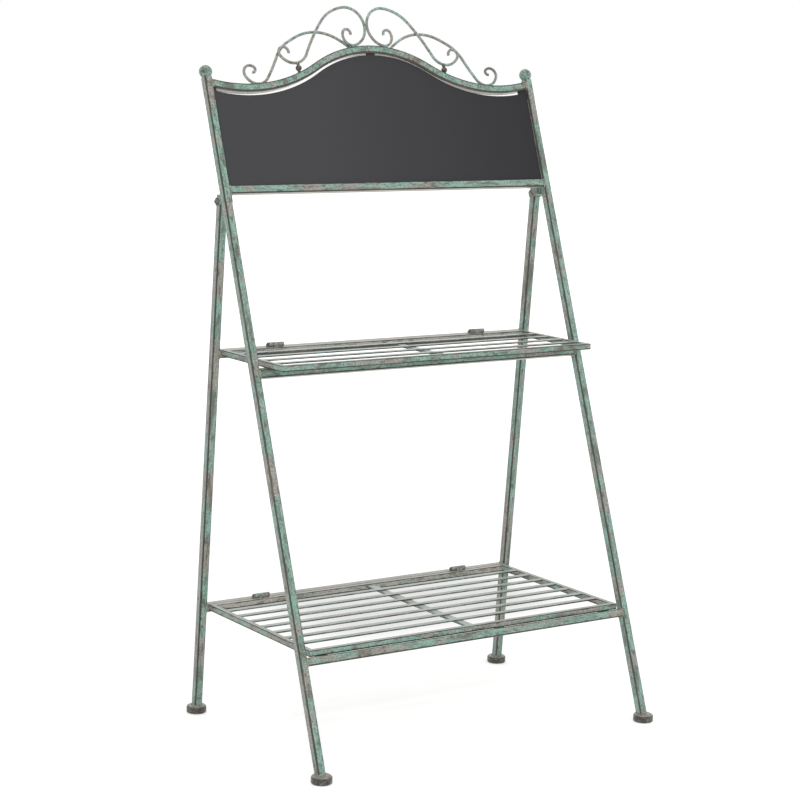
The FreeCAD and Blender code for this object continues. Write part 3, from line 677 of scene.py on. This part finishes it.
def bow(centre: Pair, radius: float, start: float, stop: float,
        steps: int) -> list[Pair]:
    """Points of an arc in a profile.

    Args:
        centre: Centre of the arc.
        radius: Its radius.
        start: First angle in degrees from the outward direction.
        stop: Last angle.
        steps: Number of chords.

    Returns:
        The points, both ends included.
    """
    angles = [math.radians(start + (stop - start) * i / steps) for i in range(steps + 1)]
    return [(centre[0] + radius * math.cos(a), centre[1] + radius * math.sin(a)) for a in angles]


def turned(profile: list[Pair], segments: int = 40) -> Piece:
    """Turn a profile about the Z axis, as on a lathe.

    Args:
        profile: Radius and height of each point in millimetres, from axis to axis.
        segments: Steps round the axis.

    Returns:
        The turned piece at the origin.
    """
    bpy.ops.object.select_all(action="DESELECT")
    bpy.ops.mesh.primitive_plane_add(size=MM, location=(0, 0, 0))
    piece = bpy.context.active_object
    with editing():
        bpy.ops.mesh.merge(type="CENTER")
        bpy.ops.transform.translate(value=(profile[0][0] * MM, 0, profile[0][1] * MM))
        for (r0, z0), (r1, z1) in zip(profile, profile[1:]):
            bpy.ops.mesh.extrude_vertices_move(
                TRANSFORM_OT_translate={"value": ((r1 - r0) * MM, 0, (z1 - z0) * MM)})
        bpy.ops.mesh.select_all(action="SELECT")
        bpy.ops.mesh.spin(steps=segments, angle=2 * math.pi, center=(0, 0, 0), axis=(0, 0, 1))
        bpy.ops.mesh.select_all(action="SELECT")
        bpy.ops.mesh.remove_doubles(threshold=MERGE_GAP)
    bpy.ops.object.shade_smooth_by_angle(angle=CREASE)
    return piece


def seat(lean: Lean, spot: Spot, along: Spot = (1, 0, 0), out: Spot = (0, 0, 1)) -> Matrix:
    """Place for a detail on the steel.

    Args:
        lean: The frame that the directions and the spot are measured in.
        spot: Its origin in millimetres.
        along: Direction of its X axis.
        out: Direction of its Z axis.

    Returns:
        The matrix from its own axes to the row frame.
    """
    x, z = Vector(along).normalized(), Vector(out).normalized()
    turn = Matrix((x, z.cross(x), z)).transposed().to_4x4()
    return lean.matrix @ Matrix.Translation(Vector(spot) * MM) @ turn


def settle(piece: Piece, name: str, material: Material, body: str,
           replaced: tuple[str, ...] = ()) -> None:
    """Name, paint and attach a finished piece.

    Args:
        piece: The piece, in place with its object at the origin.
        name: Its name.
        material: Its finish.
        body: The CAD body that it moves with.
        replaced: CAD nodes that it stands for.
    """
    piece.name = name
    piece.data.name = name
    piece.data.materials.clear()
    piece.data.materials.append(material)
    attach(piece, body)
    for node in replaced:
        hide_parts(node)
    log.info("placed %s", name)


class Stamp:
    """A detail that is modelled once and set down many times, each time with its own mesh."""

    def __init__(self, pattern: Piece) -> None:
        """Take the modelled pattern out of the scene and keep its mesh."""
        self.mesh = pattern.data
        bpy.data.objects.remove(pattern)

    def at(self, place: Matrix) -> Piece:
        """Set down a copy.

        Args:
            place: Matrix from the pattern's axes to the row frame.

        Returns:
            The copy, with the place in its mesh.
        """
        mesh = self.mesh.copy()
        mesh.transform(place)
        piece = bpy.data.objects.new("copy", mesh)
        bpy.context.collection.objects.link(piece)
        return piece


@dataclass
class Welder:
    """Weld beads: a row of overlapping drops melted into one lumpy ridge.

    Lengths are millimetres. A bead lies along X with Z outward, half sunk in the steel.
    """

    length: float = 12.6
    width: float = 4.2
    rise: float = 1.5
    drops: int = 7
    voxel: float = 0.34
    seed: int = 3
    widths: Pair = (0.85, 1.12)
    rises: Pair = (0.85, 1.2)
    stray: float = 0.25

    def pattern(self) -> Piece:
        """Model one bead at the origin."""
        draw = random.Random(self.seed)
        run = self.length - self.width
        step = run / (self.drops - 1)
        drops = []
        for i in range(self.drops):
            across = self.width / 2 * draw.uniform(*self.widths)
            spot = (i * step - run / 2, draw.uniform(-self.stray, self.stray), 0.0)
            bpy.ops.object.select_all(action="DESELECT")
            bpy.ops.mesh.primitive_uv_sphere_add(segments=16, ring_count=10, radius=MM,
                                                 location=Vector(spot) * MM)
            bpy.ops.transform.resize(
                value=(across, across, self.rise * draw.uniform(*self.rises)))
            drops.append(bpy.context.active_object)
        bead = joined(drops)
        bpy.ops.object.transform_apply(location=True, rotation=True, scale=True)
        bead.data.remesh_voxel_size = self.voxel * MM
        bpy.ops.object.voxel_remesh()
        with editing():
            bpy.ops.mesh.vertices_smooth(factor=0.5, repeat=2)
        bpy.ops.object.shade_smooth()
        return bead


@dataclass
class Welds:
    """All welds of the stand. Its lengths are millimetres."""

    material: Material
    bead: Stamp
    dab: Stamp
    small: Stamp
    arch_gap: float = 0.5
    rod_gap: float = 0.9
    dab_spacing: float = 14

    def ring(self, name: str, body: str, lean: Lean, centre: Spot,
             beads: tuple[tuple[Spot, Spot, Spot], ...]) -> None:
        """Weld round a joint.

        Args:
            name: Name of the weld.
            body: Body of the frame.
            lean: The lean that these are measured in.
            centre: Middle of the joint.
            beads: Offset, direction and outside of each bead.
        """
        laid = [self.bead.at(seat(lean, tuple(c + o for c, o in zip(centre, offset)), along, out))
                for offset, along, out in beads]
        settle(joined(laid), name, self.material, body)

    def joint(self, bar: str, legs: Legs, y: float, z: float) -> None:
        """Weld a bar all round to the insides of both legs.

        Args:
            bar: Word for the bar.
            legs: The pair of legs.
            y: Its middle, behind that of the legs.
            z: Its middle, along the legs.
        """
        h = SIZES.half
        for side in Side:
            spot, inward = (side.value * (legs.across - h), y, z), -side.value
            self.ring("weld_%s_%s" % (bar, side.word), legs.body, legs.lean, spot, (
                ((0, -h, 0), (0, 0, 1), (0, -1, 0)), ((0, h, 0), (0, 0, 1), (0, 1, 0)),
                ((0, 0, h), (0, 1, 0), (inward, 0, 1)),
                ((0, 0, -h), (0, 1, 0), (inward, 0, -1))))

    def bars(self) -> None:
        """Weld the straight bars to the legs of both frames, and the arch to the front legs."""
        bars = (("lower_front_bar", "upper_front_bar", "board_rail"),
                ("lower_rear_bar", "upper_rear_bar"))
        for legs, nodes in zip(LEG_PAIRS, bars):
            for node in nodes:
                self.joint(node, legs, *(c / MM for c in Section.of(node, legs.lean).centre))
        top = Arch().top((SIZES.front_leg - SIZES.half) * MM) / MM
        self.joint("arch", LEG_PAIRS[0], 0.0, top - SIZES.half)

    def feet(self) -> None:
        """Weld each leg all round to the top of its foot."""
        h = SIZES.half
        for legs in LEG_PAIRS:
            foot, angle = legs.lean.value
            deep = h / math.cos(math.radians(angle))
            y = foot / MM - SIZES.foot_top * math.tan(math.radians(angle))
            for side in Side:
                spot = (side.value * legs.across, y, SIZES.foot_top)
                name = "weld_%s_foot_%s" % (legs.place, side.word)
                self.ring(name, legs.body, Lean.LEVEL, spot, (
                    ((0, -deep, 0), (1, 0, 0), (0, -1, 1)), ((0, deep, 0), (1, 0, 0), (0, 1, 1)),
                    ((-h, 0, 0), (0, 1, 0), (-1, 0, 1)), ((h, 0, 0), (0, 1, 0), (1, 0, 1))))

    def scrolls(self) -> None:
        """Put a dab where the bent rods touch the arch and each other."""
        back, rail = Lean.FRONT.matrix.inverted(), Arch()
        rods = []
        for family in ("inner", "outer"):
            for side in Side:
                node = "%s_scroll_%s" % (family, side.word)
                rods.append([back @ p for p in corners(node)])
        touches = [p for rod in rods for p in rod
                   if abs(p.z - rail.top(p.x)) < self.arch_gap * MM]
        left, right, outer_left, outer_right = rods
        for one, two in ((left, outer_left), (right, outer_right), (left, right)):
            tree = KDTree(len(two))
            for i, point in enumerate(two):
                tree.insert(point, i)
            tree.balance()
            for point in one:
                near, _, gap = tree.find(point)
                if gap < self.rod_gap * MM:
                    touches.append((point + near) / 2)
        groups: list[list[Vector]] = []
        for point in touches:
            home = [g for g in groups if (g[0] - point).length < self.dab_spacing * MM]
            if home:
                home[0].append(point)
            else:
                groups.append([point])
        laid = []
        for i, group in enumerate(groups):
            middle = sum(group, Vector()) / len(group)
            along, out = (1, 0, 0.2 * (i % 3)), (0.4, 0.3 * math.sin(2.1 * i), 1.0)
            laid.append(self.dab.at(seat(Lean.FRONT, tuple(middle / MM), along, out)))
        settle(joined(laid), "weld_scroll_dabs", self.material, "front_frame")

    def shelves(self) -> None:
        """Weld the slat ends to the side rails from below."""
        for shelf in ("lower", "upper"):
            node = shelf + "_shelf_slats"
            low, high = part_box(node)
            ys = sorted({round(p.y / MM, 2) for p in corners(node)})
            width = ys[1] - ys[0]
            laid = [self.small.at(seat(Lean.LEVEL, (x, start + width / 2, low[2] / MM),
                                       (0, 1, 0), (inward, 0, -1)))
                    for start in ys[::2]
                    for x, inward in ((low[0] / MM, 1), (high[0] / MM, -1))]
            settle(joined(laid), "weld_%s_shelf_slats" % shelf, self.material,
                   shelf + "_shelf")

    def build(self) -> None:
        """Lay all welds."""
        self.bars()
        self.feet()
        self.scrolls()
        self.shelves()


@dataclass
class Feet:
    """Turned steel discs under the legs, with a rounded shoulder and a low crown."""

    radius: float = 16.0
    base: float = 1.0
    top: float = SIZES.foot_top

    def build(self, material: Material) -> None:
        """Model one foot and set it under each leg."""
        r, low, high = self.radius, self.base, self.top
        sole = [(0.0, low), (r - 1.6, low)] + bow((r - 1.2, low + 1.2), 1.2, -80, 0, 4)
        shoulder = bow((r - 3.2, high - 3.6), 3.2, 0, 78, 7)
        crown = [(r - 5.0, high - 0.12), (r - 8.0, high), (0.0, high)]
        stamp = Stamp(turned(sole + shoulder + crown, 56))
        for legs in LEG_PAIRS:
            for side in Side:
                name = "%s_foot_%s" % (legs.place, side.word)
                spot = Matrix.Translation((side.value * legs.across * MM, legs.lean.value[0], 0))
                settle(stamp.at(spot), "turned_" + name, material, legs.body,
                       (name,))


@dataclass
class Finials:
    """Ball on the top of each front leg, with the weld collar that holds it."""

    radius: float = 10.1
    rise: float = 9.0

    def build(self, material: Material) -> None:
        """Model one finial and set it on each front leg."""
        collar = [(0.0, -0.6), (6.1, -0.6)] + bow((6.1, 0.5), 1.1, -90, 60, 5)
        ball = bow((0.0, self.rise), self.radius, -43, 90, 22)
        ball[-1] = (0.0, self.rise + self.radius)
        stamp = Stamp(turned(collar + ball, 48))
        for side in Side:
            place = seat(Lean.FRONT, (side.value * SIZES.front_leg, 0, SIZES.leg_end))
            settle(stamp.at(place), "ball_finial_" + side.word, material, "front_frame",
                   replaced=("finial_" + side.word,))


@dataclass
class Pivots:
    """Bolt with washer and domed head, and capped hexagon nut, at each pivot."""

    shank: float = 3.0
    head: float = 4.6
    grip: float = 17.2
    nut: float = 3.9

    def bolt(self) -> Stamp:
        """Model the bolt along Z, with the head's seat at zero."""
        shank = [(0.0, -self.grip - 1.2), (self.shank - 0.4, -self.grip - 1.2),
                 (self.shank, -self.grip - 0.8), (self.shank, 0.0)]
        washer = [(5.2, 0.0)] + bow((5.0, 0.45), 0.45, -60, 70, 4) + [(4.3, 1.0), (4.15, 1.25)]
        head = bow((0.0, 0.9), 3.7, 8, 90, 9)
        head[-1] = (0.0, self.head)
        return Stamp(turned(shank + washer + head))

    def cap(self) -> Stamp:
        """Model the nut along Z, with its seat at zero."""
        hexagon = turned([(0.0, 0.0), (self.nut - 0.3, 0.0), (self.nut, 0.3), (self.nut, 1.9),
                          (self.nut - 0.3, 2.2), (0.0, 2.2)], 6)
        dome = turned([(0.0, 0.6), (2.9, 0.6)] + bow((0.0, 1.2), 2.7, 0, 90, 8))
        return Stamp(joined([hexagon, dome]))

    def build(self, dark: Material, paint: Material) -> None:
        """Set bolts and nuts at both pivots.

        Args:
            dark: Finish of the bolts.
            paint: Finish of the nuts.
        """
        bolt, cap = self.bolt(), self.cap()
        for side in Side:
            for stamp, across, way, name, material, node in (
                    (bolt, SIZES.cheek_outer, 1, "domed_bolt_", dark, "pivot_bolt_"),
                    (cap, SIZES.cheek_inner, -1, "cap_nut_", paint, "pivot_nut_")):
                spot = (side.value * across, SIZES.pivot_behind, SIZES.pivot_along)
                place = seat(Lean.FRONT, spot, (0, 1, 0), (way * side.value, 0, 0))
                settle(stamp.at(place), name + side.word, material, "front_frame",
                       (node + side.word,))


@dataclass
class EndPlugs:
    """Crowned plugs that close the upper ends of the rear legs."""

    side: float = 10.2
    thick: float = 3.0
    rounding: float = 0.7
    inset: float = 0.2

    def build(self, material: Material) -> None:
        """Model one plug and set it in both legs."""
        bpy.ops.object.select_all(action="DESELECT")
        bpy.ops.mesh.primitive_cube_add(size=MM, location=(0, 0, 0))
        plug = bpy.context.active_object
        bpy.ops.transform.resize(value=(self.side, self.side, self.thick))
        bpy.ops.object.transform_apply(location=True, rotation=True, scale=True)
        with editing():
            bpy.ops.mesh.bevel(offset=self.rounding * MM, segments=3)
        bpy.ops.object.shade_smooth_by_angle(angle=CREASE)
        stamp = Stamp(plug)
        for side in Side:
            spot = (side.value * SIZES.rear_leg, 0, SIZES.rear_end - self.thick / 2 - self.inset)
            settle(stamp.at(seat(Lean.REAR, spot)), "rear_leg_plug_" + side.word, material,
                   "rear_frame")


@dataclass
class Studio:
    """White sweep, soft light and the camera of the photographed view.

    The glow is the floor's own light, more far off than next to the stand. Behind the
    stand it is less by a painted shadow of the lower shelf, in a field of axis, middle,
    reach and soft edge.
    A box has its place, size and watts.
    """

    camera_place: Spot = (-1.93935, -2.84093, 1.07777)
    yaw: float = 0.5872
    pitch: float = -0.1623
    roll: float = 0.0219
    lens: float = 99.96
    sensor: float = 36.0
    clip: Pair = (0.05, 80.0)
    floor_size: float = 60.0
    glow: Band = Band(0.8, 4.0, 0.80, 0.42)
    painted_shelf_shadow: float = 0.33
    painted_shadow_field: tuple[tuple[int, float, float, float], ...] = (
        (0, 0.394, 0.40, 0.24), (1, 0.60, 0.23, 0.15))
    world_light: float = 0.55
    target: Spot = (0, 0, 0.55)
    boxes: tuple[tuple[str, Spot, float, float], ...] = (
        ("key_box", (-2.0, -2.9, 1.9), 1.2, 40), ("fill_box", (2.6, -1.6, 1.6), 1.8, 8),
        ("top_box", (0.0, 0.6, 3.4), 2.0, 20))

    def camera(self) -> None:
        """Put the camera where the photograph was taken from."""
        forward = Vector((math.sin(self.yaw) * math.cos(self.pitch),
                          math.cos(self.yaw) * math.cos(self.pitch), math.sin(self.pitch)))
        right = Vector((math.cos(self.yaw), -math.sin(self.yaw), 0))
        up = right.cross(forward)
        across = right * math.cos(self.roll) + up * math.sin(self.roll)
        over = -right * math.sin(self.roll) + up * math.cos(self.roll)
        turn = Matrix((across, over, -forward)).transposed().to_4x4()
        data = bpy.data.cameras.new("view")
        data.lens, data.sensor_width = self.lens, self.sensor
        data.clip_start, data.clip_end = self.clip
        camera = bpy.data.objects.new("view", data)
        camera.matrix_world = Matrix.Translation(self.camera_place) @ turn
        bpy.context.collection.objects.link(camera)
        bpy.context.scene.camera = camera

    def seen_white(self, weave: Weave) -> Socket:
        """Share of 1 for rays that see the backdrop itself, straight or mirrored."""
        path = add(weave.tree, "LightPath").outputs
        either = weave.math("MAXIMUM", path["Is Camera Ray"], path["Is Glossy Ray"])
        return weave.math("MAXIMUM", either, path["Is Transmission Ray"])

    def floor(self) -> None:
        """Lay a plain white floor that keeps the stand's shadow, with a painted shadow behind it.
        """
        bpy.ops.mesh.primitive_plane_add(size=self.floor_size, location=(0, 0, 0))
        floor = bpy.context.active_object
        floor.name = "studio_floor"
        material, tree = new_tree("matte_white_vinyl")
        place = add(tree, "TexCoord").outputs["Object"]
        weave = Weave(tree, place)
        away = add(tree, "VectorMath", {0: place}, operation="LENGTH").outputs[1]
        axes = add(tree, "SeparateXYZ", {0: place}).outputs
        inside = []
        # Painted shadow of the lower shelf: the glow is dimmed inside this soft field.
        for axis, middle, reach, soft in self.painted_shadow_field:
            off = weave.math("ABSOLUTE", weave.math("SUBTRACT", axes[axis], middle))
            inside.append(weave.band(off, Band(reach - soft, reach, 0.0, 1.0)))
        dimmed = weave.math("MULTIPLY_ADD", weave.math("MULTIPLY", *inside),
                            -self.painted_shelf_shadow, weave.band(away, self.glow))
        glow = weave.math("MULTIPLY", dimmed, self.seen_white(weave))
        matte = add(tree, "BsdfDiffuse", Color=srgb("#f4f4f4")).outputs[0]
        light = add(tree, "Emission", {"Strength": glow}, Color=(1, 1, 1, 1)).outputs[0]
        both = add(tree, "AddShader", {0: matte, 1: light}).outputs[0]
        add(tree, "OutputMaterial", {0: both})
        floor.data.materials.append(material)

    def world(self) -> None:
        """Surround the stand with soft white light."""
        world = bpy.data.worlds.new("studio")
        world.use_nodes = True
        tree = world.node_tree
        tree.nodes.clear()
        strength = add(tree, "MapRange", {0: self.seen_white(Weave(tree))},
                       _3=self.world_light, _4=1.0).outputs[0]
        back = add(tree, "Background", {"Strength": strength}, Color=(1, 1, 1, 1)).outputs[0]
        add(tree, "OutputWorld", {0: back})
        bpy.context.scene.world = world

    def lamps(self) -> None:
        """Hang the square soft boxes, which face the middle of the stand."""
        for name, place, size, power in self.boxes:
            data = bpy.data.lights.new(name, "AREA")
            data.shape, data.size, data.energy = "SQUARE", size, power
            lamp = bpy.data.objects.new(name, data)
            turn = (Vector(self.target) - Vector(place)).to_track_quat("-Z", "Y")
            lamp.matrix_world = Matrix.Translation(place) @ turn.to_matrix().to_4x4()
            bpy.context.collection.objects.link(lamp)

    def build(self) -> None:
        """Set up camera, floor, world and lamps."""
        self.camera()
        self.floor()
        self.world()
        self.lamps()
        bpy.context.scene.view_settings.view_transform = "Standard"


@dataclass
class SteelFrame:
    """Painted steel nodes of one leaning or level assembly."""

    lean: Lean
    bars: tuple[str, ...]
    rods: tuple[str, ...] = ()
    plates: tuple[str, ...] = ()
    shift: float = 0.37

    def build(self, seed: float) -> float:
        """Paint each node with its own edges and pattern.

        Args:
            seed: Shift of the first pattern.

        Returns:
            The shift for the next assembly.
        """
        for node in self.bars + self.rods + self.plates:
            section, paint = None, BAR_PAINT
            if node == "arch_rail":
                section, paint = Arch(), ARCH_PAINT
            elif node in self.bars:
                section = Section.of(node, self.lean)
                if node.endswith(("rear_bar", "rear_rail")):
                    paint = RUBBED_PAINT
            elif node.startswith("pivot_bracket"):
                paint = BLOTCHED_PAINT
            elif node.endswith("knuckles"):
                paint = HINGE_PAINT
            elif node in self.rods:
                paint = ROD_PAINT
            elif node.endswith(("slats", "strut")):
                paint = SLAT_PAINT
                section = (Section.of_slats(node) if node.endswith("slats")
                           else Section.of(node, self.lean))
            dress(node, paint.build("verdigris_" + node, self.lean, section, seed))
            seed += self.shift
            log.info("painted %s", node)
        return seed


def shelf(name: str) -> SteelFrame:
    """Steel of one shelf."""
    rails = tuple("%s_shelf_%s_rail" % (name, side) for side in ("front", "rear", "left", "right"))
    return SteelFrame(Lean.LEVEL, rails, plates=(
        name + "_shelf_strut", name + "_shelf_slats", name + "_hinge_shelf_knuckles"))


def main() -> None:
    """Build the studio, then dress and detail each assembly."""
    logging.basicConfig(level=logging.INFO, format="%(name)s: %(message)s")
    Studio().build()
    front = SteelFrame(
        Lean.FRONT,
        bars=("front_leg_left", "front_leg_right", "lower_front_bar", "upper_front_bar",
              "board_rail", "arch_rail"),
        rods=("inner_scroll_left", "inner_scroll_right", "outer_scroll_left",
              "outer_scroll_right"),
        plates=("scroll_blocks", "lower_rest_lugs", "upper_rest_lugs", "pivot_bracket_left",
                "pivot_bracket_right"))
    rear = SteelFrame(
        Lean.REAR,
        bars=("rear_leg_left", "rear_leg_right", "lower_rear_bar", "upper_rear_bar"),
        plates=("lower_hinge_bar_knuckles", "upper_hinge_bar_knuckles"))
    seed = 0.0
    for assembly in (front, rear, shelf("lower"), shelf("upper")):
        seed = assembly.build(seed)
    bronze = BRONZE.build()
    for material, nodes in (
            (bronze, ("scroll_bead_left", "scroll_bead_right", "lower_hinge_pins",
                      "upper_hinge_pins")),
            (BoardPaint().build(), ("chalkboard",)),
            (GLIDE.build(), ("front_foot_glides", "rear_foot_glides"))):
        for node in nodes:
            dress(node, material)

    Feet().build(FootEnamel().build())
    Finials().build(BALL_PAINT.build("verdigris_balls", Lean.FRONT, seed=0.8))
    weld = WELD_PAINT.build("primed_weld", Lean.FRONT)
    Pivots().build(bronze, weld)
    EndPlugs().build(ROD_PAINT.build("verdigris_plugs", Lean.REAR, seed=0.2))
    bead, dab, small = (Stamp(welder.pattern()) for welder in (
        Welder(), Welder(length=5.4, width=3.6, rise=1.3, drops=3, seed=5),
        Welder(length=9.6, width=1.6, rise=0.7, drops=6, voxel=0.3, seed=8)))
    Welds(weld, bead, dab, small).build()


if __name__ == "__main__":
    main()
